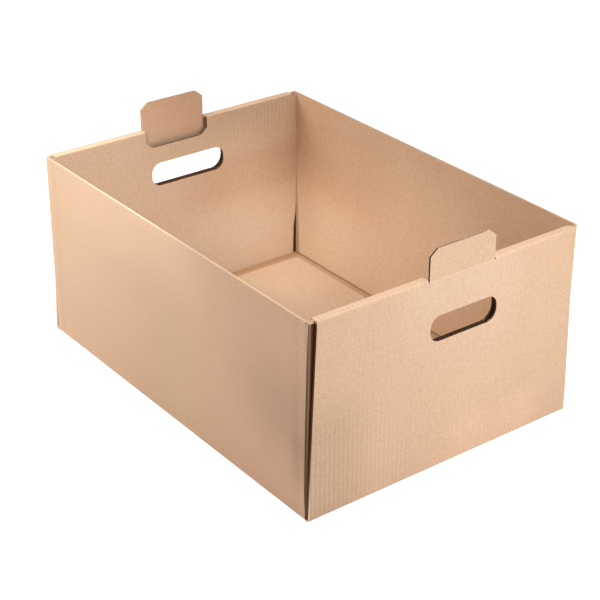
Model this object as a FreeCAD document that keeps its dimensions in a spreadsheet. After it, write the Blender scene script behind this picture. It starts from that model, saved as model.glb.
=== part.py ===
"""Open stacking tray box, die-cut and folded from one sheet of corrugated board.

Frame: X runs along the box, Y across it, Z up. The origin is on the underside,
below the middle of the box. The front end is at +X and the rear end at -X.
All sizes are in millimetres.
"""
import FreeCAD, Part
import Sketcher
import os

NODE = "folded_box"
OVERCUT = "1"  # how far a cutter starts outside the face it enters
MIDDLE = "0"  # the two planes of symmetry
UNDERSIDE = "0"

# Driving sizes: alias, value, meaning
SIZES = [
    ("box_length", 560, "outside length over the two end walls"),
    ("box_width", 400, "outside width over the two long walls"),
    ("box_height", 252, "height of the rim"),
    ("board", 3, "thickness of the corrugated board"),
    ("liner", 0.35, "thickness of each flat layer of the board"),
    ("medium", 0.3, "thickness of the wavy layer at its crests"),
    ("crest", 0.8, "width of a crest of the wavy layer, across the flutes"),
    ("web", 0.6, "width of its slopes, across the flutes"),
    ("flute_pitch", 6.5, "distance from one flute to the next"),
    ("flute_depth", 4, "depth of the open flutes in a cut edge"),
    ("flute_margin", 2, "flutes keep this far from the ends of a cut edge"),
    ("layer_gap", 1.4, "air between the layers of a rolled end"),
    ("edge_gap", 0.4, "air between a cut edge and the layer that it faces"),
    ("fold_round", 3.4, "outer radius of the base folds and corner folds"),
    ("fold_inner", 0.6, "inner radius of the same folds"),
    ("crease_round", 1.6, "outer radius of the two creases of a rolled rim"),
    ("foot_inset", 0.5, "outer panel's foot inside the box's side, each side"),
    ("rim_inset", 10.7, "rolled rim inside the box's side, each side"),
    ("inner_play", 1.5, "play between an inner panel and a long wall at the rim, each side"),
    ("inner_taper", 4, "narrowing of an inner panel at the floor, each side"),
    ("flap_length", 118, "reach of a corner flap inside a rolled end"),
    ("flap_lift", 1, "lower edge of a corner flap above the base fold"),
    ("score_width", 9, "width of the crushed strip along a long wall"),
    ("score_end_width", 15, "width of the crushed strip along an end"),
    ("score_depth", 0.6, "depth of the crushed strips"),
    ("tab_width", 42, "width of a locking tab at the floor"),
    ("tab_spread", 220, "distance between the two tabs of one end"),
    ("tab_short", 0.5, "locking tab ends this far above the underside"),
    ("tab_play", 1.2, "play round a locking tab in its floor slot"),
    ("lug_width", 97, "width of a stacking lug"),
    ("lug_rise", 36.5, "height of a stacking lug above the rim"),
    ("lug_chamfer_wide", 10.5, "chamfer of the lug's corners, across"),
    ("lug_chamfer_tall", 8.5, "chamfer of the lug's corners, down"),
    ("lug_shift_front", 14.5, "front lug, off the middle towards +Y"),
    ("lug_shift_rear", -4.5, "rear lug, off the middle towards +Y"),
    ("lug_kerf", 0.4, "notch wider than the lug that was cut from it, each side"),
    ("nick_width", 1.4, "width of the nick beside a lug's foot"),
    ("nick_depth", 3.4, "depth of the nick below the rim"),
    ("grip_height", 33, "height of a hand hole"),
    ("grip_round", 14, "corner radius of a hand hole"),
    ("grip_drop", 65, "hand holes' middle below the rim"),
    ("grip_relief", 3.3, "larger hand hole of an end beyond the smaller, all round"),
    ("grip_width_front", 100, "width of the front hand hole"),
    ("grip_width_rear", 116, "width of the rear hand hole"),
    ("grip_shift_front", 20.5, "front hand hole, off the middle towards +Y"),
    ("grip_shift_rear", 12.5, "rear hand hole, off the middle towards +Y"),
]

# Derived levels, written once and used by the expressions below
END = "Sizes.box_length / 2"
SIDE = "Sizes.box_width / 2"
RIM = "Sizes.box_height"
BOARD = "Sizes.board"
STACK = "(3 * Sizes.board + 2 * Sizes.layer_gap)"  # outer panel, corner flap, inner panel
INNER_FACE = f"({END} - {STACK})"
INNER_BACK = f"({INNER_FACE} + Sizes.board)"
OUTER_BACK = f"({END} - Sizes.board)"
FLAP_FACE = f"({OUTER_BACK} - Sizes.layer_gap)"
CORNER_START = f"({FLAP_FACE} - Sizes.fold_round - Sizes.board)"
WALL_FACE = f"({SIDE} - Sizes.board)"
FOOT_SIDE = f"({SIDE} - Sizes.foot_inset)"
RIM_SIDE = f"({SIDE} - Sizes.rim_inset)"
INNER_SIDE = f"({WALL_FACE} - Sizes.inner_play)"
FLAP_FOOT = "(max(Sizes.fold_round; Sizes.board) + Sizes.flap_lift)"
FLAP_TOP = f"({RIM} - Sizes.board - Sizes.edge_gap)"
PANEL_FOOT = "(Sizes.board + Sizes.edge_gap)"
NOTCH_FOOT = f"({RIM} + {STACK} - Sizes.lug_rise)"
LUG_TOP = f"({RIM} + Sizes.lug_rise)"
GRIP_LEVEL = f"({RIM} - Sizes.grip_drop)"

doc = FreeCAD.newDocument("TransportBox")
sheet = doc.addObject("Spreadsheet::Sheet", "Sizes")
for row, (alias, number, meaning) in enumerate(SIZES, start=1):
    sheet.set(f"A{row}", meaning)
    sheet.set(f"B{row}", str(number))
    sheet.setAlias(f"B{row}", alias)
doc.recompute()

body = doc.addObject("PartDesign::Body", "FoldedBox")
body.Label = NODE
ORIGIN = {feature.Role: feature for feature in body.Origin.OriginFeatures}


def value(expression):
    """Number that an expression has now, to start a sketch near its solution."""
    return float(sheet.evalExpression(expression))


def new_sketch(name, plane, offset):
    """Empty sketch on one of the body's planes, moved along the plane's normal."""
    sketch = body.newObject("Sketcher::SketchObject", name)
    sketch.AttachmentSupport = [(ORIGIN[plane], "")]
    sketch.MapMode = "FlatFace"
    sketch.setExpression("AttachmentOffset.Base.z", offset)
    return sketch


def bind(sketch, kind, *where, to):
    """Add a dimension and bind it to an expression."""
    index = sketch.addConstraint(Sketcher.Constraint(kind, *where, value(to)))
    sketch.setExpression(f"Constraints[{index}]", to)


def draw_polygon(sketch, points):
    """Closed straight outline, each corner placed by two expressions."""
    first = sketch.GeometryCount
    places = [FreeCAD.Vector(value(across), value(up), 0) for across, up in points]
    for start, end in zip(places, places[1:] + places[:1]):
        sketch.addGeometry(Part.LineSegment(start, end))
    for number, (across, up) in enumerate(points):
        line = first + number
        after = first + (number + 1) % len(points)
        sketch.addConstraint(Sketcher.Constraint("Coincident", line, 2, after, 1))
        bind(sketch, "DistanceX", -1, 1, line, 1, to=across)
        bind(sketch, "DistanceY", -1, 1, line, 1, to=up)


def draw_runs(sketch, runs):
    """Closed outline of level and upright runs, as a folded sheet is drawn.

    A run is (direction, level, bend): "H" runs across at a height, "V" runs up
    or down at a distance, and bend is the radius of the quarter turn into the
    next run, or None for a sharp corner.
    """
    count = len(runs)
    levels = [value(level) for _, level, _ in runs]
    corners = []
    for number, (direction, _, _) in enumerate(runs):
        here, after = levels[number], levels[(number + 1) % count]
        corners.append(FreeCAD.Vector(after, here, 0) if direction == "H"
                       else FreeCAD.Vector(here, after, 0))
    ends = []
    for number, (_, _, bend) in enumerate(runs):
        before = corners[number - 1]
        corner = corners[number]
        beyond = corners[(number + 1) % count]
        radius = value(bend) if bend else 0.0
        arriving = (corner - before).normalize()
        leaving = (beyond - corner).normalize()
        ends.append((corner - arriving * radius, corner + leaving * radius, radius,
                     arriving, leaving))
    lines = []
    for number in range(count):
        start, end = ends[number - 1][1], ends[number][0]
        lines.append(sketch.addGeometry(Part.LineSegment(start, end)))
    for number, (direction, level, bend) in enumerate(runs):
        line, after = lines[number], lines[(number + 1) % count]
        if direction == "H":
            sketch.addConstraint(Sketcher.Constraint("Horizontal", line))
            bind(sketch, "DistanceY", -1, 1, line, 1, to=level)
        else:
            sketch.addConstraint(Sketcher.Constraint("Vertical", line))
            bind(sketch, "DistanceX", -1, 1, line, 1, to=level)
        if bend is None:
            sketch.addConstraint(Sketcher.Constraint("Coincident", line, 2, after, 1))
            continue
        start, end, radius, arriving, leaving = ends[number]
        centre = start + leaving * radius
        middle = centre + (arriving - leaving) * (radius / 2 ** 0.5)
        arc = sketch.addGeometry(Part.Arc(start, middle, end))
        turns_left = arriving.cross(leaving).z > 0
        near, far = (1, 2) if turns_left else (2, 1)
        sketch.addConstraint(Sketcher.Constraint("Tangent", line, 2, arc, near))
        sketch.addConstraint(Sketcher.Constraint("Tangent", arc, far, after, 1))
        bind(sketch, "Radius", arc, to=bend)


def box_runs(low, high, left, right):
    """Rectangle as four runs."""
    return [("H", low, None), ("V", right, None), ("H", high, None), ("V", left, None)]


def extrude(kind, name, sketch, length, backwards=False):
    """Pad or Pocket of a sketch, with its length bound to an expression."""
    feature = body.newObject(f"PartDesign::{kind}", name)
    feature.Profile = sketch
    feature.setExpression("Length", length)
    feature.Reversed = backwards
    doc.recompute()
    return feature


# --- One quarter of the sheet, on the +X and +Y side ---------------------------

def add_rolled_end():
    """Base, outer panel, rim and inner panel in one rolled section."""
    sketch = new_sketch("RolledEndSection", "XZ_Plane", MIDDLE)
    draw_runs(sketch, [
        ("H", UNDERSIDE, "Sizes.fold_round"),
        ("V", END, "Sizes.crease_round"),
        ("H", RIM, "Sizes.crease_round"),
        ("V", INNER_FACE, None),
        ("H", PANEL_FOOT, None),
        ("V", INNER_BACK, None),
        ("H", f"{RIM} - Sizes.board", None),
        ("V", OUTER_BACK, "Sizes.fold_inner"),
        ("H", BOARD, None),
        ("V", MIDDLE, None),
    ])
    extrude("Pad", "RolledEnd", sketch, FOOT_SIDE, backwards=True)


def cut_side_strip():
    """Strip where the long wall and its folds stand in place of the rolled end."""
    sketch = new_sketch("SideStripPlan", "XY_Plane", f"{RIM} + {OVERCUT}")
    draw_runs(sketch, box_runs(f"{SIDE} - Sizes.fold_round", SIDE, MIDDLE, FLAP_FACE))
    extrude("Pocket", "SideStrip", sketch, f"{RIM} + 2 * {OVERCUT}")


def cut_rim_ends():
    """Ends of the rolled rim, short of the long walls."""
    sketch = new_sketch("RimEndsPlan", "XY_Plane", f"{RIM} + {OVERCUT}")
    draw_runs(sketch, box_runs(RIM_SIDE, SIDE, f"{INNER_FACE} - {OVERCUT}",
                               f"{END} + {OVERCUT}"))
    extrude("Pocket", "RimEnds", sketch, f"{OVERCUT} + Sizes.board + Sizes.edge_gap")


def cut_outer_taper():
    """Slanting side edge of the outer panel, narrowest at the rim."""
    sketch = new_sketch("OuterTaperPlan", "YZ_Plane", f"{END} + {OVERCUT}")
    draw_polygon(sketch, [
        (FOOT_SIDE, FLAP_FOOT),
        (SIDE, FLAP_FOOT),
        (SIDE, RIM),
        (RIM_SIDE, RIM),
    ])
    extrude("Pocket", "OuterTaper", sketch, f"{OVERCUT} + Sizes.board + Sizes.layer_gap / 2")


def cut_inner_taper():
    """Slanting side edge of the inner panel, narrowest at the floor."""
    foot = "(Sizes.board + Sizes.edge_gap / 2)"
    sketch = new_sketch("InnerTaperPlan", "YZ_Plane", f"{INNER_FACE} - {OVERCUT}")
    draw_polygon(sketch, [
        (f"{INNER_SIDE} - Sizes.inner_taper", foot),
        (SIDE, foot),
        (SIDE, RIM),
        (INNER_SIDE, RIM),
    ])
    extrude("Pocket", "InnerTaper", sketch, f"{OVERCUT} + Sizes.board + Sizes.layer_gap / 2",
            backwards=True)


def add_tray_edge():
    """Base with the long wall's fold turned up."""
    sketch = new_sketch("TrayEdgeSection", "YZ_Plane", MIDDLE)
    draw_runs(sketch, [
        ("H", UNDERSIDE, "Sizes.fold_round"),
        ("V", SIDE, None),
        ("H", FLAP_FOOT, None),
        ("V", WALL_FACE, "Sizes.fold_inner"),
        ("H", BOARD, None),
        ("V", MIDDLE, None),
    ])
    extrude("Pad", "TrayEdge", sketch, FLAP_FACE)


def add_long_wall():
    """Long wall above its fold, as far as the corner fold."""
    sketch = new_sketch("LongWallSection", "YZ_Plane", MIDDLE)
    draw_runs(sketch, box_runs(FLAP_FOOT, RIM, WALL_FACE, SIDE))
    extrude("Pad", "LongWall", sketch, CORNER_START)


def draw_corner(sketch, reach):
    """Plan of the corner fold and of the flap behind it, out to a distance across."""
    draw_runs(sketch, [
        ("H", SIDE, "Sizes.fold_round"),
        ("V", FLAP_FACE, None),
        ("H", reach, None),
        ("V", f"{FLAP_FACE} - Sizes.board", "Sizes.fold_inner"),
        ("H", WALL_FACE, None),
        ("V", CORNER_START, None),
    ])


def add_corner_flap():
    """Corner fold and the flap that lies between the end's two layers."""
    sketch = new_sketch("CornerFlapPlan", "XY_Plane", FLAP_FOOT)
    draw_corner(sketch, f"{SIDE} - Sizes.flap_length")
    extrude("Pad", "CornerFlap", sketch, f"{FLAP_TOP} - {FLAP_FOOT}")


def add_corner_top():
    """Upper end of the corner fold, beside the rolled rim and as high as it."""
    sketch = new_sketch("CornerTopPlan", "XY_Plane", FLAP_TOP)
    draw_corner(sketch, f"{RIM_SIDE} + Sizes.edge_gap")
    extrude("Pad", "CornerTop", sketch, f"{RIM} - {FLAP_TOP}")


def cut_floor_score():
    """Crushed strip round the floor, along the folds."""
    wall = f"({WALL_FACE} - Sizes.fold_inner)"
    inside_x = f"({INNER_FACE} - Sizes.score_end_width)"
    inside_y = f"({wall} - Sizes.score_width)"
    sketch = new_sketch("FloorScorePlan", "XY_Plane", BOARD)
    draw_polygon(sketch, [
        (MIDDLE, wall),
        (MIDDLE, inside_y),
        (inside_x, inside_y),
        (inside_x, MIDDLE),
        (INNER_FACE, MIDDLE),
        (INNER_FACE, wall),
    ])
    extrude("Pocket", "FloorScore", sketch, "Sizes.score_depth")


def add_locking_tab():
    """Floor slot, and the inner panel's tab that stands in it."""
    near = "(Sizes.tab_spread - Sizes.tab_width) / 2"
    far = "(Sizes.tab_spread + Sizes.tab_width) / 2"
    slot = new_sketch("TabSlotPlan", "XY_Plane", f"{UNDERSIDE} - {OVERCUT}")
    draw_runs(slot, box_runs(f"{near} - Sizes.tab_play", f"{far} + Sizes.tab_play",
                             f"{INNER_FACE} - Sizes.tab_play",
                             f"{INNER_BACK} + Sizes.tab_play"))
    extrude("Pocket", "TabSlot", slot, f"{OVERCUT} + Sizes.board + Sizes.edge_gap / 2",
            backwards=True)
    tab = new_sketch("LockingTabPlan", "XY_Plane", "Sizes.tab_short")
    draw_runs(tab, box_runs(near, far, INNER_FACE, INNER_BACK))
    extrude("Pad", "LockingTab", tab, f"{PANEL_FOOT} + Sizes.board - Sizes.tab_short")


def mirror_whole(name, plane):
    """Mirror all that the body holds so far."""
    feature = body.newObject("PartDesign::Mirrored", name)
    feature.MirrorPlane = (ORIGIN[plane], [""])
    feature.TransformMode = "Whole shape"
    body.Tip = feature
    doc.recompute()


# --- Features of each end -------------------------------------------------------

def end_plane(end, distance):
    """Place along X of a plane that lies at a distance from the middle of the box."""
    return distance if end == "Front" else f"0 - ({distance})"


def add_lug(end):
    """Stacking lug, with the notch that it leaves in the rim and the inner panel."""
    middle = f"Sizes.lug_shift_{end.lower()}"
    left, right = f"({middle} - Sizes.lug_width / 2)", f"({middle} + Sizes.lug_width / 2)"
    notch_left, notch_right = f"({left} - Sizes.lug_kerf)", f"({right} + Sizes.lug_kerf)"
    wide, tall = "Sizes.lug_chamfer_wide", "Sizes.lug_chamfer_tall"
    rear = end == "Rear"

    notch = new_sketch(f"{end}NotchPlan", "YZ_Plane", end_plane(end, OUTER_BACK))
    draw_polygon(notch, [
        (f"{notch_left} + {wide}", NOTCH_FOOT),
        (f"{notch_right} - {wide}", NOTCH_FOOT),
        (notch_right, f"{NOTCH_FOOT} + {tall}"),
        (notch_right, f"{RIM} + {OVERCUT}"),
        (notch_left, f"{RIM} + {OVERCUT}"),
        (notch_left, f"{NOTCH_FOOT} + {tall}"),
    ])
    extrude("Pocket", f"{end}Notch", notch, f"{OVERCUT} + {STACK} - Sizes.board", backwards=rear)

    lug = new_sketch(f"{end}LugPlan", "YZ_Plane", end_plane(end, OUTER_BACK))
    draw_polygon(lug, [
        (left, f"{RIM} - Sizes.crease_round - Sizes.board"),
        (right, f"{RIM} - Sizes.crease_round - Sizes.board"),
        (right, f"{LUG_TOP} - {tall}"),
        (f"{right} - {wide}", LUG_TOP),
        (f"{left} + {wide}", LUG_TOP),
        (left, f"{LUG_TOP} - {tall}"),
    ])
    extrude("Pad", f"{end}Lug", lug, BOARD, backwards=rear)

    nicks = new_sketch(f"{end}NickPlan", "YZ_Plane", end_plane(end, f"{END} + {OVERCUT}"))
    low, high = f"{RIM} - Sizes.nick_depth", f"{RIM} + {OVERCUT}"
    draw_runs(nicks, box_runs(low, high, f"{left} - Sizes.nick_width", left))
    draw_runs(nicks, box_runs(low, high, right, f"{right} + Sizes.nick_width"))
    extrude("Pocket", f"{end}Nicks", nicks, f"{OVERCUT} + Sizes.board", backwards=rear)


def cut_grip(end):
    """Hand hole through both panels, larger in the front's inner and the rear's outer."""
    middle = f"Sizes.grip_shift_{end.lower()}"
    half_width = f"Sizes.grip_width_{end.lower()} / 2"
    rear = end == "Rear"
    layers = [("Outer", f"{END} + {OVERCUT}", "Sizes.grip_relief" if rear else "0"),
              ("Inner", f"{INNER_BACK} + Sizes.layer_gap", "0" if rear else "Sizes.grip_relief")]
    for layer, face, relief in layers:
        low = f"{GRIP_LEVEL} - Sizes.grip_height / 2 - {relief}"
        high = f"{GRIP_LEVEL} + Sizes.grip_height / 2 + {relief}"
        corner = f"Sizes.grip_round + {relief}"
        sketch = new_sketch(f"{end}{layer}GripPlan", "YZ_Plane", end_plane(end, face))
        draw_runs(sketch, [
            ("H", low, corner),
            ("V", f"{middle} + {half_width} + {relief}", corner),
            ("H", high, corner),
            ("V", f"{middle} - {half_width} - {relief}", corner),
        ])
        extrude("Pocket", f"{end}{layer}Grip", sketch,
                f"{OVERCUT} + Sizes.board + Sizes.layer_gap", backwards=rear)


def cut_flutes(end, name, layers, middle, span, top, depth):
    """Open flutes of upright panels, seen where a level edge cuts across them.

    layers are the outer sides of the panels, as distances from the middle of the
    box. The flutes lie evenly about middle, as many as the span has room for.
    """
    count = f"floor(({span} - 2 * Sizes.flute_margin) / Sizes.flute_pitch)"
    first = f"({middle} - ({count} - 0.5) * Sizes.flute_pitch / 2)"
    second = f"({first} + Sizes.flute_pitch / 2)"
    half_foot = "(Sizes.flute_pitch - Sizes.crest - Sizes.web) / 2"
    plan = new_sketch(f"{end}{name}FlutePlan", "XY_Plane", top)
    for layer in layers:
        # A flute narrows from one liner towards the crest on the other liner
        for centre, foot, tip in (
                (first, "Sizes.liner", "(Sizes.board - Sizes.liner - Sizes.medium)"),
                (second, "(Sizes.board - Sizes.liner)", "(Sizes.liner + Sizes.medium)")):
            foot_x, tip_x = (end_plane(end, f"{layer} - {inset}") for inset in (foot, tip))
            draw_polygon(plan, [
                (foot_x, f"{centre} - {half_foot}"),
                (foot_x, f"{centre} + {half_foot}"),
                (tip_x, f"{centre} + Sizes.crest / 2"),
                (tip_x, f"{centre} - Sizes.crest / 2"),
            ])
    pocket = body.newObject("PartDesign::Pocket", f"{end}{name}Flute")
    pocket.Profile = plan
    pocket.setExpression("Length", depth)
    row = body.newObject("PartDesign::LinearPattern", f"{end}{name}Flutes")
    row.Originals = [pocket]
    row.Direction = (ORIGIN["Y_Axis"], [""])
    row.setExpression("Occurrences", count)
    row.setExpression("Length", f"({count} - 1) * Sizes.flute_pitch")
    body.Tip = row
    pocket.Refine = row.Refine = False
    doc.recompute()


def open_flutes(end):
    """Flutes at the top of the lug, at the foot of the notch and round the hand hole."""
    middle = f"Sizes.lug_shift_{end.lower()}"
    span = "(Sizes.lug_width - 2 * Sizes.lug_chamfer_wide)"
    cut_flutes(end, "Lug", [END], middle, span, LUG_TOP, "Sizes.flute_depth")
    cut_flutes(end, "Notch", [INNER_BACK], middle, span, NOTCH_FOOT, "Sizes.flute_depth")
    middle = f"Sizes.grip_shift_{end.lower()}"
    span = f"(Sizes.grip_width_{end.lower()} - Sizes.grip_round)"
    reach = "(Sizes.grip_height / 2 + Sizes.grip_relief + Sizes.flute_depth)"
    cut_flutes(end, "Grip", [END, INNER_BACK], middle, span, f"{GRIP_LEVEL} + {reach}",
               f"2 * {reach}")


add_rolled_end()
cut_side_strip()
cut_rim_ends()
cut_outer_taper()
cut_inner_taper()
add_tray_edge()
add_long_wall()
add_corner_flap()
add_corner_top()
cut_floor_score()
add_locking_tab()
mirror_whole("BothSides", "XZ_Plane")
mirror_whole("BothEnds", "YZ_Plane")
for end in ("Front", "Rear"):
    add_lug(end)
    cut_grip(end)
for end in ("Front", "Rear"):
    open_flutes(end)
doc.recompute()

# --- Check the whole document, then write the node -------------------------------

for item in doc.Objects:
    if "Invalid" in item.State or "Error" in item.State:
        raise SystemExit(f"{item.Name} failed: {item.State}")
shape = body.Shape
if shape.isNull() or not shape.isValid() or len(shape.Solids) != 1:
    raise SystemExit(f"{NODE} is not one valid solid")
os.makedirs("parts", exist_ok=True)
shape.exportStep(os.path.join("parts", f"{NODE}.step"))
box = shape.BoundBox
print(f"{NODE}: {box.XLength:.1f} x {box.YLength:.1f} x {box.ZLength:.1f} mm,"
      f" {shape.Volume / 1000:.0f} cm3, {len(shape.Faces)} faces")
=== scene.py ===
import math
import bpy
from mathutils import Matrix, Vector


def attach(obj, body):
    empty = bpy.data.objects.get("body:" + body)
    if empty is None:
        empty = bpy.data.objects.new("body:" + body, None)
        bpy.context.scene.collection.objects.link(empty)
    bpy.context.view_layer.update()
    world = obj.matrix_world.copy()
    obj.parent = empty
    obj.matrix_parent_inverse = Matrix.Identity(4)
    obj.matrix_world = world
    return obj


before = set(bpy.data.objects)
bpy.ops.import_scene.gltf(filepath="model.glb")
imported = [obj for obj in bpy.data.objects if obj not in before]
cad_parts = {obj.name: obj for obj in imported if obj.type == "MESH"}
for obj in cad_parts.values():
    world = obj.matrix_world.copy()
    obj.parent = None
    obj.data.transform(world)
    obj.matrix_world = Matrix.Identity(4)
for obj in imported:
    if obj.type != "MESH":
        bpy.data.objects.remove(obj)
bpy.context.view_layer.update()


def deselectAll():
    for item in list(bpy.context.selected_objects):
        item.select_set(False)


# places and joins shader nodes in one tree
class Nodes:
    def __init__(self, tree):
        self.tree = tree
        self.column = 0

    def add(self, kind, title, **settings):
        node = self.tree.nodes.new(kind)
        node.label = title
        node.location = (self.column * 180, 0)
        self.column += 1
        for name, setting in settings.items():
            setattr(node, name, setting)
        return node

    def join(self, source, target):
        self.tree.links.new(source, target)

    def feed(self, socket, value):
        if isinstance(value, bpy.types.NodeSocket):
            self.join(value, socket)
        else:
            socket.default_value = value

    def math(self, title, operation, *values):
        node = self.add("ShaderNodeMath", title, operation=operation)
        for socket, value in zip(node.inputs, values):
            self.feed(socket, value)
        return node.outputs[0]

    def above(self, title, value, limit):
        return self.math(title, "GREATER_THAN", value, limit)

    def below(self, title, value, limit):
        return self.math(title, "LESS_THAN", value, limit)

    def either(self, title, first, second):
        return self.math(title, "MAXIMUM", first, second)

    def opposite(self, title, value):
        return self.math(title, "SUBTRACT", 1.0, value)

    def product(self, title, *values):
        result = values[0]
        for value in values[1:]:
            result = self.math(title, "MULTIPLY", result, value)
        return result

    # smooth step from low to high
    def ramp(self, title, value, low, high, start=0.0, end=1.0):
        node = self.add("ShaderNodeMapRange", title, interpolation_type="SMOOTHSTEP")
        for name, number in (("Value", value), ("From Min", low), ("From Max", high),
                             ("To Min", start), ("To Max", end)):
            self.feed(node.inputs[name], number)
        return node.outputs["Result"]

    # 1 between low and high, fading over soft on the outside
    def between(self, title, value, low, high, soft):
        rise = self.ramp(title + " rise", value, low - soft, low)
        fall = self.ramp(title + " fall", value, high, high + soft, 1.0, 0.0)
        return self.math(title, "MULTIPLY", rise, fall)

    def mix(self, title, amount, first, second, way="MIX"):
        node = self.add("ShaderNodeMix", title, data_type="RGBA", blend_type=way)
        self.feed(node.inputs[0], amount)
        self.feed(node.inputs[6], first)
        self.feed(node.inputs[7], second)
        return node.outputs[2]

    # multiplied by a tint where amount is 1
    def tint(self, title, amount, colour, factor):
        tinted = self.mix(title + " in full", 1.0, colour, factor, "MULTIPLY")
        return self.mix(title, amount, colour, tinted)

    def blend(self, title, amount, first, second):
        node = self.add("ShaderNodeMix", title, data_type="FLOAT")
        self.feed(node.inputs[0], amount)
        self.feed(node.inputs[2], first)
        self.feed(node.inputs[3], second)
        return node.outputs[0]

    def stretch(self, title, vector, scale, turn=0.0):
        node = self.add("ShaderNodeMapping", title)
        self.feed(node.inputs["Vector"], vector)
        node.inputs["Scale"].default_value = scale
        node.inputs["Rotation"].default_value = (turn, turn, turn)
        return node.outputs[0]

    def noise(self, title, vector, scale, detail=2.0, roughness=0.5):
        node = self.add("ShaderNodeTexNoise", title)
        self.feed(node.inputs["Vector"], vector)
        self.feed(node.inputs["Scale"], scale)
        self.feed(node.inputs["Detail"], detail)
        self.feed(node.inputs["Roughness"], roughness)
        return node.outputs["Fac"]


cameraView = {
    "heading": 52.762,
    "tilt": 27.984,
    "roll": 0.218,
    "place": (1.44115, -1.09459, 1.05990),
    "lens": 96.859,
    "sensor": 36.0,
}


def placeCamera(view):
    turn, lift = math.radians(view["heading"]), math.radians(view["tilt"])
    back = Vector((math.sin(turn) * math.cos(lift), -math.cos(turn) * math.cos(lift),
                   math.sin(lift)))
    right = Vector((math.cos(turn), math.sin(turn), 0.0))
    up = back.cross(right)
    roll = math.radians(view["roll"])
    rightRolled = math.cos(roll) * right + math.sin(roll) * up
    upRolled = math.cos(roll) * up - math.sin(roll) * right
    data = bpy.data.cameras.new("camera")
    data.sensor_width = view["sensor"]
    data.lens = view["lens"]
    camera = bpy.data.objects.new("camera", data)
    bpy.context.scene.collection.objects.link(camera)
    camera.matrix_world = Matrix((
        (rightRolled.x, upRolled.x, back.x, view["place"][0]),
        (rightRolled.y, upRolled.y, back.y, view["place"][1]),
        (rightRolled.z, upRolled.z, back.z, view["place"][2]),
        (0.0, 0.0, 0.0, 1.0)))
    bpy.context.scene.camera = camera


placeCamera(cameraView)
print("camera placed")


studio = {
    "floorSize": 12.0,
    "floorColour": (0.80, 0.80, 0.80, 1.0),
    "floorSeen": (0.50, 0.50, 0.50, 1.0),
    "floorWhite": 0.90,
    "worldColour": (1.0, 1.0, 1.0, 1.0),
    "worldLevel": 0.20,
}

# name, place, aim, size, watts, colour
areaLamps = [
    ("endLamp", (0.85, 0.05, 0.65), (0.28, 0.05, 0.14), 0.40, 2.70, (1.00, 1.00, 1.00)),
    ("lowEndLamp", (0.88, 0.18, 0.25), (0.28, 0.05, 0.03), 0.40, 1.80, (1.00, 0.98, 1.00)),
    ("sideLamp", (-0.50, -0.75, 0.60), (-0.25, -0.20, 0.20), 0.35, 5.1, (1.00, 0.98, 0.97)),
    ("wallLamp", (-0.10, -0.80, 0.95), (-0.05, -0.20, 0.24), 0.30, 1.4, (1.00, 0.99, 0.98)),
    ("rightTopLamp", (0.60, 0.60, 1.80), (0.0, 0.0, 0.1), 0.80, 5.2, (1.00, 1.00, 1.00)),
    ("leftTopLamp", (0.50, -0.80, 1.80), (0.0, 0.0, 0.1), 0.80, 3.3, (1.00, 1.00, 1.00)),
    ("backLamp", (-0.80, 0.80, 1.60), (0.0, 0.0, 0.1), 0.80, 3.6, (1.00, 1.00, 1.00)),
]

# soft spots over the open top: name, place, aim, cone in degrees, watts
spotLamps = [
    ("farEndSpot", (0.35, -0.25, 0.75), (-0.268, -0.16, 0.16), 28.0, 14.6),
    ("farEndFootSpot", (0.25, -0.20, 0.70), (-0.268, 0.11, 0.03), 20.0, 7.4),
    ("farEndTopSpot", (0.40, 0.10, 0.55), (-0.268, 0.03, 0.25), 34.0, 2.4),
    ("floorSpot", (0.30, -0.30, 0.60), (-0.268, 0.05, 0.05), 26.0, 3.0),
    ("cornerSpot", (0.10, -0.40, 0.65), (-0.25, 0.197, 0.02), 18.0, 16.5),
    ("wallSpot", (-0.05, -0.45, 0.65), (0.02, 0.197, 0.02), 28.0, 7.6),
    ("wallFootSpot", (-0.15, -0.42, 0.62), (-0.10, 0.197, -0.01), 20.0, 5.6),
]

spotLook = {
    "blend": 1.0,
    "softness": 0.05,
    "colour": (0.91, 1.00, 1.06),
}


# rays that meet the ground and the surround from the camera, a mirror or through glass
def seenRays(n):
    path = n.add("ShaderNodeLightPath", "ray")
    seen = n.either("camera or mirror", path.outputs["Is Camera Ray"], path.outputs["Is Glossy Ray"])
    return n.either("or through glass", seen, path.outputs["Is Transmission Ray"])


def makeFloor(values):
    deselectAll()
    bpy.ops.mesh.primitive_plane_add(size=values["floorSize"], location=(0.0, 0.0, 0.0))
    floor = bpy.context.active_object
    floor.name = "floor"
    material = bpy.data.materials.new("paleFloor")
    material.use_nodes = True
    material.node_tree.nodes.clear()
    n = Nodes(material.node_tree)
    seen = seenRays(n)
    colour = n.mix("seen colour", seen, values["floorColour"], values["floorSeen"])
    matt = n.add("ShaderNodeBsdfDiffuse", "matt floor")
    n.join(colour, matt.inputs["Color"])
    white = n.add("ShaderNodeEmission", "white ground")
    n.join(n.product("white where seen", seen, values["floorWhite"]), white.inputs["Strength"])
    both = n.add("ShaderNodeAddShader", "ground")
    n.join(matt.outputs[0], both.inputs[0])
    n.join(white.outputs[0], both.inputs[1])
    out = n.add("ShaderNodeOutputMaterial", "surface")
    n.join(both.outputs[0], out.inputs["Surface"])
    floor.data.materials.append(material)


def makeWorld(values):
    world = bpy.data.worlds.new("studio")
    bpy.context.scene.world = world
    world.use_nodes = True
    world.node_tree.nodes.clear()
    n = Nodes(world.node_tree)
    seen = seenRays(n)
    level = n.ramp("level", seen, 0.0, 1.0, values["worldLevel"], 1.0)
    sky = n.add("ShaderNodeBackground", "white surround")
    sky.inputs["Color"].default_value = values["worldColour"]
    n.join(level, sky.inputs["Strength"])
    out = n.add("ShaderNodeOutputWorld", "surface")
    n.join(sky.outputs[0], out.inputs["Surface"])


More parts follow.
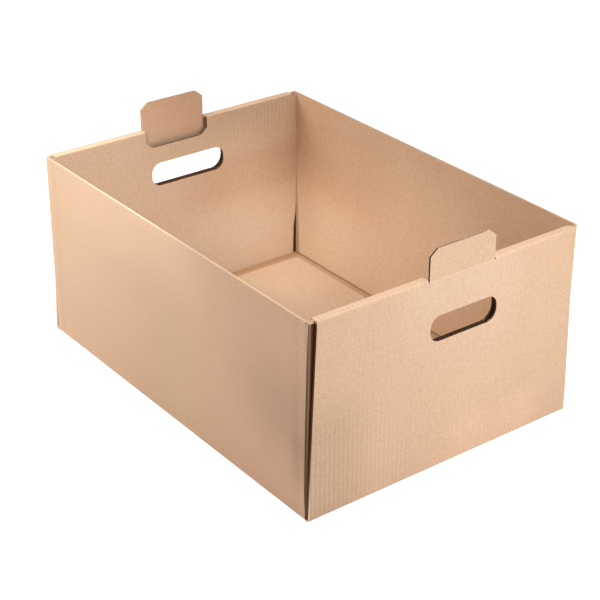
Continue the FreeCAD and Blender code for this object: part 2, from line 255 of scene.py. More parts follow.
def hangLamp(data, place, aim, watts, colour):
    data.energy = watts
    data.color = colour
    lamp = bpy.data.objects.new(data.name, data)
    bpy.context.scene.collection.objects.link(lamp)
    lamp.location = place
    towards = Vector(aim) - Vector(place)
    lamp.rotation_euler = towards.to_track_quat("-Z", "Y").to_euler()


def makeAreaLamp(name, place, aim, size, watts, colour):
    data = bpy.data.lights.new(name, "AREA")
    data.shape = "SQUARE"
    data.size = size
    hangLamp(data, place, aim, watts, colour)


def makeSpotLamp(look, name, place, aim, cone, watts):
    data = bpy.data.lights.new(name, "SPOT")
    data.spot_size = math.radians(cone)
    data.spot_blend = look["blend"]
    data.shadow_soft_size = look["softness"]
    hangLamp(data, place, aim, watts, look["colour"])


makeFloor(studio)
makeWorld(studio)
for lamp in areaLamps:
    makeAreaLamp(*lamp)
for lamp in spotLamps:
    makeSpotLamp(spotLook, *lamp)
print("floor and light made")


board = {
    "liner": (0.655, 0.440, 0.290, 1.0),
    "linerPale": (0.703, 0.487, 0.333, 1.0),
    "linerDeep": (0.600, 0.388, 0.244, 1.0),
    "toneShares": (0.58, 1.00, 1.14),
    "warmTint": (1.070, 1.000, 1.015, 1.0),
    "paleTint": (1.025, 1.070, 1.130, 1.0),
    "insideWall": (1.000, 0.985, 0.935, 1.0),
    "insideEnd": (0.985, 1.000, 1.000, 1.0),
    "insideLug": (1.055, 0.985, 0.940, 1.0),
    # the next two: painted light low inside, painted shade half way up
    "lowPaintedLight": (1.020, 1.080, 1.125, 1.0),
    "middlePaintedShade": (0.900, 0.845, 0.800, 1.0),
    "litBend": (1.000, 0.740, 0.520, 1.0),
    "cutLiner": (0.800, 0.590, 0.410, 1.0),
    "medium": (0.420, 0.255, 0.145, 1.0),
    # the next two: painted shade on the hand holes' edges
    "gripLinerShade": (0.090, 0.045, 0.022, 1.0),
    "gripMediumShade": (0.240, 0.130, 0.068, 1.0),
    # a darker outermost liner at the hand holes
    "outerGripLiner": (0.450, 0.260, 0.145, 1.0),
    # painted shade in open hollows
    "hollow": (0.035, 0.018, 0.009, 1.0),
    "lugEdge": (0.600, 0.375, 0.225, 1.0),
    # from here to the gaping edge: painted shade in strips, folds and gaps, with a painted sheen on a
    # fold's crown
    "crushed": (0.430, 0.240, 0.120, 1.0),
    "foldShadow": (0.190, 0.085, 0.030, 1.0),
    "cornerFoldShade": (0.170, 0.096, 0.048, 1.0),
    "cornerSheen": (0.250, 0.150, 0.098, 1.0),
    "gapShade": (0.100, 0.035, 0.010, 1.0),
    "gapingEdgeShade": (0.160, 0.060, 0.020, 1.0),
    "plainShare": 0.80,
    "speckle": 0.17,
    "fleck": 0.08,
    "paleFleck": 0.07,
    # the washboard's tone paints light and shade of the flute ridges
    "fluteTone": 0.022,
    "patchyFlutes": 0.55,
    "pressedFlutes": 2.0,
    # painted shade on the lugs
    "lugShade": 0.975,
    "creaseTone": 0.050,
    "notchTone": 0.12,
    "notchEdgeTone": 0.30,
    # painted light on the rims
    "rimTone": 0.34,
    "bandTone": 0.035,
    "beyondTone": 0.025,
    # the corner, fold and end tones are painted shade, the top tone painted light
    "cornerTone": 0.16,
    "foldTone": 0.14,
    "topTone": 0.095,
    "endTone": 0.13,
    "footTone": 0.085,
    "bendShare": 0.50,
    "footShare": 0.65,
    "outerGripShare": 0.80,
    "closedShare": 0.75,
    "closedLugShare": 0.85,
    "lugFlutes": (0.10, 0.40),
    "fluteRise": 0.00005,
    "paperRise": 0.00012,
    "paperStrength": 0.5,
    "roughness": 0.80,
    "sheen": 0.18,
    "thickness": 0.0030,
    "linerDepth": 0.00040,
    "flutePitch": 0.0065,
    "halfWidth": 0.200,
    "halfLength": 0.280,
    "innerFace": 0.2682,
    "flapFace": 0.2756,
    "foldRound": 0.0034,
    "rim": 0.252,
    "rimFold": 0.0033,
    "rimEnd": 0.0036,
    "floorTop": 0.003,
    "underside": 0.001,
    "pastBoard": 0.0034,
    "wallInside": 0.0027,
    "panelPlay": 0.0008,
    "cornerFrom": 0.180,
    "lugSide": 0.120,
    "notchDepth": 0.036,
    "play": 0.0003,
    "hair": 0.0002,
    "soft": 0.0001,
}


# where a point lies in the box, which faces are cut edges, and how deep in the board it is
def boardMasks(n, values):
    place = n.add("ShaderNodeTexCoord", "place")
    point = n.add("ShaderNodeSeparateXYZ", "point")
    n.join(place.outputs["Object"], point.inputs[0])
    facing = n.add("ShaderNodeSeparateXYZ", "facing")
    n.join(place.outputs["Normal"], facing.inputs[0])
    m = {"place": place.outputs["Object"], "x": point.outputs["X"], "y": point.outputs["Y"]}
    for axis in "XYZ":
        m["to" + axis] = n.math("looks along " + axis, "ABSOLUTE", facing.outputs[axis])
        m["at" + axis] = n.math("distance along " + axis, "ABSOLUTE", point.outputs[axis])
    m["front"] = n.above("front end", m["x"], 0.0)
    m["diagonal"] = n.product("either side of the diagonals", m["x"], m["y"], -1.0)
    m["sideOf"] = n.math("which long wall", "SIGN", m["y"])
    x, y, z = m["atX"], m["atY"], m["atZ"]
    thick, liner, side = values["thickness"], values["linerDepth"], values["halfWidth"]
    rim, hair, soft = values["rim"], values["hair"], values["soft"]

    outerDepth = n.math("depth in outer panel", "SUBTRACT", values["halfLength"], x)
    innerDepth = n.math("depth in inner panel", "SUBTRACT", values["innerFace"] + thick, x)
    wallDepth = n.math("depth in wall", "SUBTRACT", side, y)
    m["outer"] = n.above("in outer panel", x, values["flapFace"] + values["panelPlay"])
    endDepth = n.blend("panel depth", m["outer"], innerDepth, outerDepth)

    aside = n.ramp("looks aside", m["toX"], 0.45, 0.55, 1.0, 0.0)
    inEnd = n.above("in a rolled end", x, values["innerFace"] - values["play"])
    panelSide = n.blend("side of a panel", m["outer"], side - values["pastBoard"], side - hair)
    inPanels = n.below("clear of the walls", y, panelSide)
    m["sideways"] = n.above("looks across", m["toY"], 0.7)
    level = n.either("cut levels", n.below("below the rim", z, rim - values["rimFold"]),
                     n.either("or sideways", n.above("above the rim", z, rim + hair), m["sideways"]))
    offFloor = n.above("off the floor", z, values["pastBoard"])
    endCut = n.product("cut edge of an end", aside, inEnd, inPanels, level, offFloor)
    m["wallTop"] = n.product("top edge of a wall", n.above("in a wall", y, side - thick - hair),
                             n.above("at the rim", z, rim - values["play"]),
                             n.above("looks up", m["toZ"], 0.7))
    m["cut"] = n.either("cut edge", endCut, m["wallTop"])

    depth = n.blend("depth in board", m["wallTop"], endDepth, wallDepth)
    m["core"] = n.between("core", depth, liner + soft, thick - liner - soft, soft)
    inside = n.between("inside the board", endDepth, liner - soft, thick - liner + soft, 0.00002)
    byCorner = n.above("near a corner", y, values["cornerFrom"])
    m["flute"] = n.product("open flute", inside, inEnd, inPanels, offFloor, level,
                           n.opposite("away from the corners", byCorner),
                           n.ramp("upright wall", m["toZ"], 0.3, 0.5, 1.0, 0.0))
    m["closedEdge"] = n.either("closed edges", n.product("outer panel's side", m["outer"], byCorner),
                               n.product("end of the rim", byCorner, n.above(
                                   "at the rim's height", z, rim - values["rimEnd"])))
    m["gapeEdge"] = n.product("edge at a gaping corner", m["outer"], byCorner,
                              n.above("gaping diagonal", m["diagonal"], 0.0),
                              n.below("short of the rim", z, rim - values["rimEnd"]))
    m["alongCut"] = n.above("cut along the flutes", m["toY"], 0.45)
    m["lugEdge"] = n.product("edge of a lug", m["outer"],
                             n.below("not a corner", y, values["lugSide"]),
                             n.above("above the nicks", z, rim - 0.012))
    return m


# panels and walls as areas, for the tones and tints of the paper
def boardAreas(n, m, values):
    x, y, z = m["atX"], m["atY"], m["atZ"]
    inner, rim = values["innerFace"], values["rim"]
    upright = n.ramp("upright face", m["toZ"], 0.4, 0.6, 1.0, 0.0)
    m["onWall"] = n.product("on a long wall", n.ramp("looks out", m["toY"], 0.6, 0.8), upright)
    m["wallOut"] = n.product("outside of a wall", n.above("at the side", y, values["halfWidth"]
                                                          - values["play"]), m["onWall"])
    m["inWall"] = n.product("inside of a wall", m["onWall"], n.below(
        "not outside", y, values["halfWidth"] - values["wallInside"]))
    m["inEnd"] = n.product("inside of an end", n.below("short of the gap", x, inner + 0.0004),
                           n.opposite("not a wall", m["onWall"]),
                           n.above("above the underside", z, values["underside"]))
    m["endFace"] = n.product("face of an outer panel", m["outer"],
                             n.above("looks along the box", m["toX"], 0.8))
    m["outside"] = n.product("outer face of an end", m["endFace"], n.above(
        "on the outside", x, values["halfLength"] - 0.0015))
    m["lug"] = n.product("lug", m["outside"], n.ramp("above the crease", z, rim - 0.0020,
                                                     rim - 0.0004))
    m["lugInside"] = n.product("inner face of a lug", m["endFace"],
                               n.ramp("above the notch's foot", z, rim - 0.042,
                                      rim - values["notchDepth"]),
                               n.opposite("on the inside", m["outside"]))


# painted shade in the folds and gaps beside the corners, with a painted sheen on a fold's crown, as colour
# and amount
def cornerShade(n, m, values):
    x, y, z = m["atX"], m["atY"], m["atZ"]
    inner, rim = values["innerFace"], values["rim"]
    side, flap, bend = values["halfWidth"], values["flapFace"], values["foldRound"]
    around = n.math("way round the fold", "ADD",
                    n.math("past the wall", "SUBTRACT", x, flap - bend),
                    n.math("past the side", "SUBTRACT", side, y))
    rise = n.math("height share", "POWER", n.math("of the strip", "DIVIDE", z, 0.232), 2.3)
    start = n.math("strip starts", "MULTIPLY_ADD", rise, 0.0040, 0.0005)
    start = n.math("later at the foot", "ADD", start, n.ramp("foot", z, 0.035, 0.005, 0.0, 0.0016))
    past = n.math("past its start", "SUBTRACT", around, start)
    below = n.below("below the top ring", z, rim - values["rimFold"])
    short = n.below("short of the panel", x, flap + 0.0006)
    beside = n.above("beside the wall", y, side - 0.014)
    gapes = n.above("two corners gape", m["diagonal"], 0.0)
    strip = n.product("strip on the fold", n.ramp("strip edge", past, -0.0005, 0.0006), below,
                      short, beside, gapes,
                      n.above("behind the inner panel", x, flap - bend - 0.002))
    within = n.below("inside the wall", y, side - values["wallInside"])
    pocket = n.product("gap inside the corner",
                       n.ramp("behind the panel", x, inner + 0.0002, inner + 0.0005),
                       beside, within, short,
                       n.either("inside or gaping", gapes,
                                n.below("inside the flap", x, flap - 0.002)),
                       n.ramp("fades at the rim", z, rim - 0.018, rim - 0.006, 1.0, 0.0),
                       n.either("closes inside", n.ramp("near the foot", z, 0.05, 0.10, 1.0, 0.0),
                                n.above("outside the flap", x, flap - 0.002)))
    colour = n.mix("fold", n.ramp("fold turns", past, 0.0004, 0.0012), values["foldShadow"],
                   values["cornerFoldShade"])
    # a grey painted sheen along the fold's crown, and painted shade in the gap beyond it
    crown = n.math("from the crown", "SUBTRACT", around,
                   n.math("crown rises", "MULTIPLY_ADD", z, 0.0166, 0.0040))
    colour = n.mix("painted sheen on the fold", n.between("fold's crown", crown, -0.0006, 0.0006, 0.0007),
                   colour, values["cornerSheen"])
    inward = n.either("inner side", n.ramp("beyond the fold", crown, 0.0009, 0.0017),
                      n.product("behind the flap", within,
                                n.below("inside the flap's face", x, flap - 0.0012)))
    colour = n.mix("gap", inward, colour, values["gapShade"])
    return colour, n.either("corner shade", strip, pocket)


# painted shade on the sunk strips along the floor's edges and up the inner corners, and a dark painted
# line at the feet of the walls and ends
def crushedStrips(n, m, values):
    x, y, z = m["atX"], m["atY"], m["atZ"]
    inner, wall, floor = values["innerFace"], values["halfWidth"] - values["thickness"], values["floorTop"]
    sunk = n.product("sunk strip", n.above("level face", m["toZ"], 0.8),
                     n.below("below the floor", z, floor - values["play"]),
                     n.above("above the underside", z, values["underside"]))
    byEnd = n.ramp("along an end", x, inner - 0.0156, inner - 0.0150)
    floorStrip = n.product("floor strips", sunk, n.blend(
        "ends or walls", byEnd, 0.60,
        n.ramp("towards the fold", x, inner - 0.0120, inner - 0.0060, 0.70, 1.0)))
    foot = n.either("feet", n.product(
        "foot of a wall", n.ramp("fold begins", y, wall - 0.0018, wall - 0.0010),
        n.below("near the floor", z, floor + 0.0012),
        n.above("above the sheet", z, values["underside"]),
        n.below("on the wall's inside", y, wall + values["play"])), n.product(
        "foot of an end", sunk, 0.3, n.ramp("end begins", x, inner - 0.0020, inner - 0.0008)))
    reach = n.ramp("narrower upwards", z, 0.0, 0.17, 0.0075, 0.0)
    cornerStart = n.math("strip begins", "SUBTRACT", inner, reach)
    into = n.math("into the strip", "SUBTRACT", x, cornerStart)
    upright = n.product("corner strip", n.ramp("past its edge", into, -0.0004, 0.0006),
                        n.below("on the wall's face", y, wall + values["hair"]),
                        n.above("against the wall", y, wall - values["hair"]),
                        n.ramp("fades upwards", z, 0.11, 0.17, 0.80, 0.0))
    return n.either("crushed", floorStrip, upright), foot


# brightness of the paper at close range: mottle, fibres and the flutes' faint washboard, whose tone is
# painted light and shade of the flute ridges
def paperShade(n, m, values, speckle):
    place = m["place"]
    longWay = n.stretch("fibres one way", place, (90.0, 520.0, 520.0), 0.5)
    otherWay = n.stretch("fibres other way", place, (520.0, 90.0, 420.0), -0.6)
    fibreLong = n.noise("long fibres", longWay, 1.0)
    fibreCross = n.noise("cross fibres", otherWay, 1.0)
    shade = n.ramp("speckle amount", speckle, 0.6, 1.4, 1.0 - values["speckle"],
                   1.0 + values["speckle"])
    shade = n.math("shade", "ADD", shade, n.math(
        "flecks", "ADD", n.ramp("dark fibres", fibreLong, 0.62, 0.74, 0.0, -values["fleck"]),
        n.ramp("pale fibres", fibreCross, 0.62, 0.74, 0.0, values["paleFleck"])))

    across = n.blend("flute direction", m["onWall"], m["y"], m["atZ"])
    wave = n.math("flute wave", "SINE", n.math("flute phase", "MULTIPLY", across,
                                               2.0 * math.pi / values["flutePitch"]))
    patches = n.ramp("washboard patches", n.noise("patches", place, 6.0), 0.35, 0.65, 0.25, 1.0)
    corner = n.ramp("towards two corners", m["diagonal"], 0.005, 0.045)
    pressed = n.blend("pressed height", m["outer"],
                      n.ramp("near the rim inside", m["atZ"], 0.17, 0.235),
                      n.ramp("near the foot outside", m["atZ"], 0.17, 0.05))
    onEnd = n.above("on an end", m["atX"], values["innerFace"] - 0.0004)
    strength = n.math("washboard strength", "ADD",
                      n.product("patchy", patches, values["patchyFlutes"]),
                      n.product("pressed", corner, pressed, values["pressedFlutes"], onEnd))
    wave = n.product("washboard", wave, strength, n.opposite("not on edges", m["cut"]))
    # the tone from this wave is painted light and shade of the ridges; its bump is relief
    return n.math("washboard tone", "MULTIPLY_ADD", wave, values["fluteTone"], shade), wave


# brightness of whole areas: painted shade on the lugs, paler creases, painted light on the rims, paler
# bands by the folds, and painted light and shade on parts of walls and ends
def areaTones(n, m, values):
    x, y, z = m["atX"], m["atY"], m["atZ"]
    rim, flap, wallOut, outside = values["rim"], values["flapFace"], m["wallOut"], m["outside"]
    crease = n.product("crease", n.between("crease line", z, rim - 0.0034, rim - 0.0026, 0.0010),
                       outside)
    # the lugs are darker than the panel below as painted shade
    broad = n.blend("lug tone", m["lug"], 1.0, values["lugShade"])
    broad = n.math("paler crease", "ADD", broad, n.product("crease tone", crease,
                                                           values["creaseTone"]))

    # shade on a lug's inner face along the notch's foot and its side
    notchSide = n.ramp("by the notch's side", m["y"],
                       n.blend("side at either end", m["front"], -0.050, -0.031),
                       n.blend("fades", m["front"], -0.0405, -0.0215),
                       values["notchEdgeTone"], 0.0)
    notchFoot = n.ramp("by the notch's foot", z, rim - 0.0285, rim - 0.0170,
                       values["notchEdgeTone"], 0.0)
    notch = n.product("lug behind the notch", n.below("inner face", x, flap + 0.0018),
                      n.above("past the gap", x, flap + values["panelPlay"]),
                      n.math("shade by the notch", "ADD",
                             n.ramp("darker downwards", z, rim - 0.027, rim - 0.006,
                                    values["notchTone"], 0.0),
                             n.either("foot or side", notchFoot, n.product(
                                 "side below the rim",
                                 n.ramp("below the rim", z, rim, rim - 0.006), notchSide))))
    broad = n.math("shaded lug", "SUBTRACT", broad, notch)
    # painted light on the rim's upward faces
    rimLight = n.product("painted light on the rim", n.ramp("faces up", m["toZ"], 0.2, 0.8),
                     n.above("top of the fold", z, rim - 0.0035),
                     n.above("over an end", x, values["innerFace"] - 0.0005),
                     n.below("between the walls", y, 0.1895))
    broad = n.math("paler rim", "ADD", broad, n.product("rim tone", rimLight, values["rimTone"]))

    # a paler band beside each corner fold of the long walls
    band = n.product("band by the fold", n.between("band", x, 0.2630, 0.2712, 0.0012), wallOut)
    beyond = n.product("duller beyond", n.between("beyond", x, 0.2560, 0.2612, 0.0090), wallOut)
    broad = n.math("band tone", "ADD", broad, n.math(
        "pale and dull", "SUBTRACT", n.product("pale band", band, values["bandTone"]),
        n.product("dull band", beyond, values["beyondTone"])))

    # painted shade on a wall by the gaping corner and low by the fold, painted light at the top of a wall,
    # painted shade low on an end towards the corner, and an end paler at its foot
    dull = n.product("painted shade by the corner", wallOut,
                     n.ramp("by the gaping corner", m["diagonal"], 0.020, 0.046),
                     n.ramp("from below", z, 0.03, 0.12), n.ramp("from above", z, 0.22, 0.13))
    broad = n.math("duller by the corner", "SUBTRACT", broad, n.product("dull tone", dull,
                                                                        values["cornerTone"]))
    # painted shade low on a wall by the fold
    nearFold = n.product("duller by the fold", wallOut,
                         n.ramp("last of the wall", m["diagonal"], 0.047, 0.0535),
                         n.between("a hand above the floor", z, 0.055, 0.090, 0.030),
                         values["foldTone"])
    broad = n.math("shaded by the fold", "SUBTRACT", broad, nearFold)
    # painted light at the top of a wall
    paleTop = n.product("paler top of a wall", wallOut, n.ramp("near the rim", z, 0.15, 0.225),
                        n.between("left of middle", m["x"], -0.14, 0.02, 0.13), values["topTone"])
    broad = n.math("uneven wall", "ADD", broad, paleTop)
    # painted shade low on an end towards the corner
    dullEnd = n.product("duller end", outside,
                        n.ramp("towards the corner", m["diagonal"], 0.026, 0.046),
                        n.ramp("low on the end", z, 0.17, 0.10), values["endTone"])
    paleFoot = n.product("paler foot", outside,
                         n.between("about the middle", m["y"], 0.03, 0.12, 0.05),
                         n.ramp("near the floor", z, 0.075, 0.035), values["footTone"])
    return n.math("uneven end", "ADD", broad, n.math("pale or dull", "SUBTRACT", paleFoot, dullEnd))


# the paper's own colour differs a little from panel to panel; inside it is paler low down as painted light
# and browner half way up as painted shade, the corner bends get painted light, the ends are paler under
# the lugs and the walls warmer towards the gaping corners
def tintedPaper(n, m, values, colour):
    x, y, z = m["atX"], m["atY"], m["atZ"]
    rim, flap, inWall, inEnd = values["rim"], values["flapFace"], m["inWall"], m["inEnd"]
    colour = n.tint("tinted walls inside", inWall, colour, values["insideWall"])
    colour = n.tint("tinted ends and floor", inEnd, colour, values["insideEnd"])
    rearwards = n.ramp("towards the rear", m["x"], -0.02, -0.14)
    rightOfEnd = n.product("right of the end", inEnd, n.ramp("across the end", m["y"], -0.12, 0.0))
    # painted light: paler, more neutral paper low inside
    lowInside = n.product("low inside", n.ramp("by the floor", z, 0.115, 0.060),
                          n.blend("wall or end", inWall, rightOfEnd, rearwards),
                          n.above("off the floor", z, values["floorTop"] + 0.002))
    colour = n.tint("painted light low inside", lowInside, colour, values["lowPaintedLight"])
    # painted shade: browner half way up inside
    rightHalf = n.product("right of middle", inEnd, n.ramp("across", m["y"], -0.03, 0.06))
    halfUp = n.product("half way up", n.between("middle heights", z, 0.135, 0.168, 0.032),
                       n.blend("on wall or end", inWall, rightHalf,
                               n.product("half as much", rearwards, 0.5)))
    colour = n.tint("browner half way up", halfUp, colour, values["middlePaintedShade"])
    bend = n.product("bend lit from the front",
                     n.ramp("on the bend", x, flap - values["foldRound"], flap - 0.0016, 0.0,
                            values["bendShare"]),
                     n.above("outside of the bend", y, values["halfWidth"] - 0.0028),
                     n.below("below the rim fold", z, rim - values["rimFold"]))
    colour = n.mix("lit bend", bend, colour, values["litBend"])
    colour = n.tint("tinted lug inside", m["lugInside"], colour, values["insideLug"])
    paler = n.product("paler under the lug", m["outside"], n.ramp("upwards", z, 0.10, 0.23),
                      n.opposite("not the lug", m["lug"]),
                      n.between("by the lug", m["y"], -0.03, 0.07, 0.06))
    colour = n.tint("paler paper", paler, colour, values["paleTint"])
    warm = n.product("warmer wall", m["wallOut"],
                     n.ramp("towards the gaping corner", m["diagonal"], -0.010, 0.050))
    return n.tint("warm paper", warm, colour, values["warmTint"])


# cut edges: pale liners, brown core, and painted shade in the hollows where the cut runs along a flute, on
# the hand holes' edges and on edges in a gaping corner
def cutEdges(n, m, values):
    x, y, z = m["atX"], m["atY"], m["atZ"]
    edge = n.mix("edge of liner or core", m["core"], values["cutLiner"], values["medium"])
    # the hand holes' edges are painted dark as shade in the hole
    grip = n.product("edge of a hand hole", n.below("not a corner", y, values["lugSide"]),
                     n.below("below the notch", z, values["rim"] - values["notchDepth"]),
                     n.above("above the tabs", z, 0.08))
    edge = n.mix("hand hole's edge", grip, edge, n.mix(
        "its liner or core", m["core"], values["gripLinerShade"], values["gripMediumShade"]))
    # the outermost liner at a hand hole is less dark than the rest of its edge
    outermost = n.product("outermost liner", grip, n.above(
        "outer face", x, values["halfLength"] - 0.0005), values["outerGripShare"])
    edge = n.mix("hand hole's outer liner", outermost, edge, values["outerGripLiner"])
    edge = n.mix("closed edge", n.product("closed amount", m["closedEdge"], values["closedShare"]),
                 edge, values["cutLiner"])
    # edges in a gaping corner are painted dark as shade in the slot
    edge = n.mix("edge in the gap", m["gapeEdge"], edge, values["gapingEdgeShade"])

    # one side of the front lug is open, the other sides of both lugs are closed
    hollow = n.product("hollow along the flute", m["core"], m["alongCut"],
                       n.opposite("open edge", m["closedEdge"]))
    darkSide = n.product("open side of the front lug", m["front"],
                         n.below("left of its middle", m["y"], 0.0145))
    paleLug = n.product("closed edge of a lug", m["lugEdge"],
                        n.opposite("not the open side", darkSide))
    # open hollows get a near-black painted shade
    edge = n.mix("hollow edge", n.product("open hollows", hollow, n.opposite(
        "not a closed lug", paleLug)), edge, values["hollow"])
    edge = n.mix("lug's closed edge", n.product("closed lug amount", paleLug,
                                                values["closedLugShare"]), edge,
                 n.mix("either lug", m["front"], values["lugEdge"], values["cutLiner"]))
    nearTop = n.product("wall's top edge", m["wallTop"],
                        n.ramp("away from the corner", x, 0.235, 0.262, 1.0, 0.55))
    edge = n.mix("closed top edge", nearTop, edge,
                 n.mix("top edge of either wall", n.ramp("far wall", m["sideOf"], -0.5, 0.5),
                       values["cutLiner"], values["liner"]))
    rearFlutes, frontFlutes = values["lugFlutes"]
    lugAmount = n.blend("side or top of a lug", m["sideways"],
                        n.blend("flutes of either lug", m["front"], rearFlutes, frontFlutes),
                        n.math("dark or closed side", "MULTIPLY_ADD", darkSide, 0.95, 0.05))
    openFlute = n.product("open flutes", m["flute"],
                          n.blend("paler on the lugs", m["lugEdge"], 1.0, lugAmount))
    return edge, openFlute


def makeBoard(values):
    material = bpy.data.materials.new("kraftBoard")
    material.use_nodes = True
    material.node_tree.nodes.clear()
    n = Nodes(material.node_tree)
    m = boardMasks(n, values)
    boardAreas(n, m, values)
    x, y, z = m["atX"], m["atY"], m["atZ"]

    cloud = n.noise("paper cloud", m["place"], 7.0, 3.0, 0.55)
    mottle = n.noise("mottle", m["place"], 480.0, 2.0, 0.6)
    grain = n.noise("grain", m["place"], 1300.0, 2.0, 0.6)
    speckle = n.math("mottle and grain", "ADD", mottle, grain)
    shade, wave = paperShade(n, m, values, speckle)
    tone = n.mix("cloudy liner", n.ramp("cloud amount", cloud, 0.3, 0.7),
                 values["linerDeep"], values["linerPale"])
    colour = n.mix("liner", values["plainShare"], tone, values["liner"])
    tones = n.add("ShaderNodeCombineXYZ", "darker is browner")
    for socket, share in zip(tones.inputs, values["toneShares"]):
        n.feed(socket, n.math("tone of a channel", "MULTIPLY_ADD",
                              n.math("from plain", "SUBTRACT", shade, 1.0), share, 1.0))
    colour = n.mix("speckled", 1.0, colour, tones.outputs[0], "MULTIPLY")
    even = n.add("ShaderNodeVectorMath", "broad tones", operation="SCALE")
    n.join(colour, even.inputs[0])
    n.join(areaTones(n, m, values), even.inputs["Scale"])
    colour = tintedPaper(n, m, values, even.outputs[0])

    crushed, foot = crushedStrips(n, m, values)
    # the strips and the feet are painted shade where the folds meet
    colour = n.mix("crushed board", crushed, colour, values["crushed"])
    colour = n.mix("foot of the walls", n.product("foot amount", foot, values["footShare"]), colour,
                   values["foldShadow"])
    shaded, amount = cornerShade(n, m, values)
    colour = n.mix("corners", amount, colour, shaded)

    # painted shade on the faces between the panels, seen through the hand holes
    behind = n.product("between the panels",
                       n.between("behind both", x, values["innerFace"] + 0.0028,
                                 values["flapFace"] + 0.0016, values["soft"]),
                       n.above("faces a panel", m["toX"], 0.8),
                       n.below("away from the flaps", y, 0.10),
                       n.below("below the notch", z, values["rim"] - 0.030))
    colour = n.mix("space between the panels", behind, colour, values["gapShade"])
    edge, openFlute = cutEdges(n, m, values)
    colour = n.mix("cut edge", m["cut"], colour, edge)
    # open flutes are painted near-black as shade in the hollows
    colour = n.mix("open flute", openFlute, colour, values["hollow"])

    washboard = n.add("ShaderNodeBump", "washboard bump")
    washboard.inputs["Distance"].default_value = values["fluteRise"]
    n.join(wave, washboard.inputs["Height"])
    paper = n.add("ShaderNodeBump", "paper bump")
    paper.inputs["Distance"].default_value = values["paperRise"]
    paper.inputs["Strength"].default_value = values["paperStrength"]
    n.join(speckle, paper.inputs["Height"])
    n.join(washboard.outputs[0], paper.inputs["Normal"])

    surface = n.add("ShaderNodeBsdfPrincipled", "kraft paper")
    n.join(colour, surface.inputs["Base Color"])
    n.join(n.ramp("roughness", mottle, 0.3, 0.7, values["roughness"] - 0.06,
                  values["roughness"] + 0.08), surface.inputs["Roughness"])
    surface.inputs["Specular IOR Level"].default_value = values["sheen"]
    n.join(paper.outputs[0], surface.inputs["Normal"])
    out = n.add("ShaderNodeOutputMaterial", "surface")
    n.join(surface.outputs[0], out.inputs["Surface"])
    return material


def dressPiece(piece, title, material):
    piece.name = title
    piece.data.name = title
    piece.data.materials.append(material)


# merges doubles and turns every face outwards
def evenNormals():
    bpy.ops.object.mode_set(mode="EDIT")
    bpy.ops.mesh.select_all(action="SELECT")
    bpy.ops.mesh.remove_doubles(threshold=1e-6)
    bpy.ops.mesh.normals_make_consistent(inside=False)
    bpy.ops.object.mode_set(mode="OBJECT")


panelEdge = {
    "front": 0.26835,
    "back": 0.27110,
    "rimSide": 0.1955,
    "taper": 0.0040,
    "wall": 0.1969,
    "play": 0.0001,
    "foot": 0.045,
    "bulge": 0.066,
    "bulgeGap": 0.0016,
    "closed": 0.090,
    "top": 0.2500,
}


# above the gaping foot, the inner panels' side edges reach the long walls: one block is cut
# along the edge's taper and twice at its foot, and mirrored to the other corners
def makePanelEdges(values, rim, material):
    def edgeAt(height):
        share = (rim - height) / rim
        return values["rimSide"] - values["taper"] * share + values["play"], height

    foot, top = edgeAt(values["foot"]), edgeAt(values["top"])
    bulge = (values["wall"] - values["bulgeGap"], values["bulge"])
    closed = (values["wall"], values["closed"])
    start = (values["front"], foot[0], foot[1])
    end = (values["back"], values["wall"], top[1])
    deselectAll()
    bpy.ops.mesh.primitive_cube_add(size=1.0, calc_uvs=False,
                                    location=[(a + b) / 2 for a, b in zip(start, end)])
    piece = bpy.context.active_object
    piece.scale = [b - a for a, b in zip(start, end)]
    bpy.ops.object.transform_apply(location=True, rotation=True, scale=True)
    bpy.ops.object.mode_set(mode="EDIT")
    for (fromY, fromZ), (toY, toZ) in ((top, foot), (bulge, closed), (foot, bulge)):
        bpy.ops.mesh.select_all(action="SELECT")
        bpy.ops.mesh.bisect(plane_co=(0.0, fromY, fromZ), plane_no=(0.0, toZ - fromZ, fromY - toY),
                            use_fill=True, clear_outer=True, threshold=1e-7)
    bpy.ops.object.mode_set(mode="OBJECT")
    mirror = piece.modifiers.new("fourCorners", "MIRROR")
    mirror.use_axis = (True, True, False)
    mirror.use_mirror_merge = False
    bpy.ops.object.modifier_apply(modifier=mirror.name)
    evenNormals()
    dressPiece(piece, "panelEdges", material)
    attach(piece, "root")


holeLip = {
    "middle": 0.0125,
    "halfWidth": 0.0613,
    "corner": 0.0173,
    "foot": 0.1672,
    "rise": 0.0023,
    "outerFace": 0.2800,
    "innerFace": 0.2770,
    "liner": 0.0004,
    "medium": 0.0005,
    "pitch": 0.0065,
    "step": 0.0008,
    "play": 0.0001,
    "arcShare": 0.999,
}


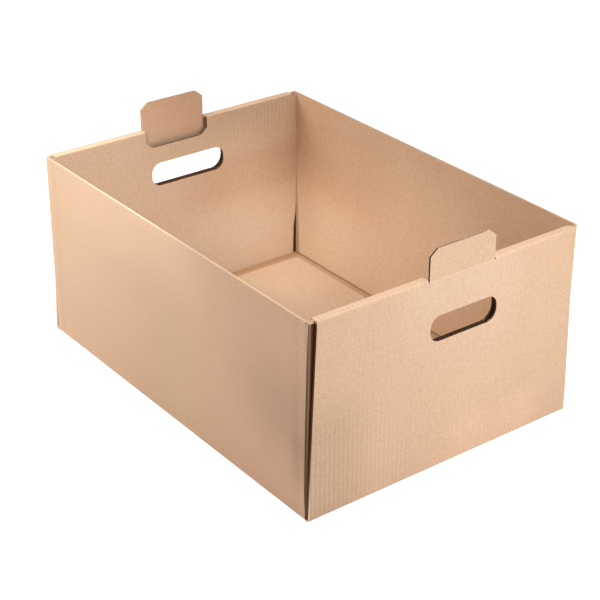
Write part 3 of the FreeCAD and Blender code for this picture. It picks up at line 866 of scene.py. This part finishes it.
# fluted lower lip of the rear outer panel's hand hole: two liners and the medium between them,
# each one drawn out from a small plane, step by step along the hole's lower edge
def makeHoleLip(values, material):
    radius = values["corner"] - values["play"]
    straight = values["halfWidth"] - values["corner"]
    reach = straight + values["arcShare"] * radius
    count = int(2.0 * reach / values["step"])
    outer, inner, liner = values["outerFace"], values["innerFace"], values["liner"]
    swing = (outer - inner) / 2 - liner - values["medium"] / 2

    def pathPoint(step, centre, wave):
        across = -reach + 2.0 * reach * step / count
        past = max(abs(across) - straight, 0.0)
        low = values["foot"] + values["corner"] - math.sqrt(radius ** 2 - past ** 2)
        x = centre + wave * math.sin(2.0 * math.pi * across / values["pitch"])
        return Vector((-x, values["middle"] + across, low + values["rise"] / 2))

    ribbons = []
    for centre, wave, thick in ((outer - liner / 2, 0.0, liner),
                                ((outer + inner) / 2, swing, values["medium"]),
                                (inner + liner / 2, 0.0, liner)):
        path = [pathPoint(step, centre, wave) for step in range(count + 1)]
        deselectAll()
        bpy.ops.mesh.primitive_plane_add(size=1.0, calc_uvs=False, location=path[0],
                                         rotation=(math.pi / 2, 0.0, 0.0))
        ribbon = bpy.context.active_object
        ribbon.scale = (thick, values["rise"], 1.0)
        bpy.ops.object.transform_apply(location=True, rotation=True, scale=True)
        bpy.ops.object.mode_set(mode="EDIT")
        bpy.ops.mesh.select_all(action="SELECT")
        for here, there in zip(path, path[1:]):
            bpy.ops.mesh.extrude_region_move(TRANSFORM_OT_translate={"value": there - here})
        bpy.ops.object.mode_set(mode="OBJECT")
        evenNormals()
        ribbons.append(ribbon)
    for ribbon in ribbons:
        ribbon.select_set(True)
    bpy.ops.object.join()
    piece = bpy.context.active_object
    dressPiece(piece, "holeLip", material)
    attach(piece, "root")


kraftBoard = makeBoard(board)
for name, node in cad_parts.items():
    for slot in node.material_slots:
        slot.material = kraftBoard
print("board dressed")
makePanelEdges(panelEdge, board["rim"], kraftBoard)
makeHoleLip(holeLip, kraftBoard)
print("panel edges and hole lip made")


bpy.context.scene.view_settings.view_transform = "Standard"
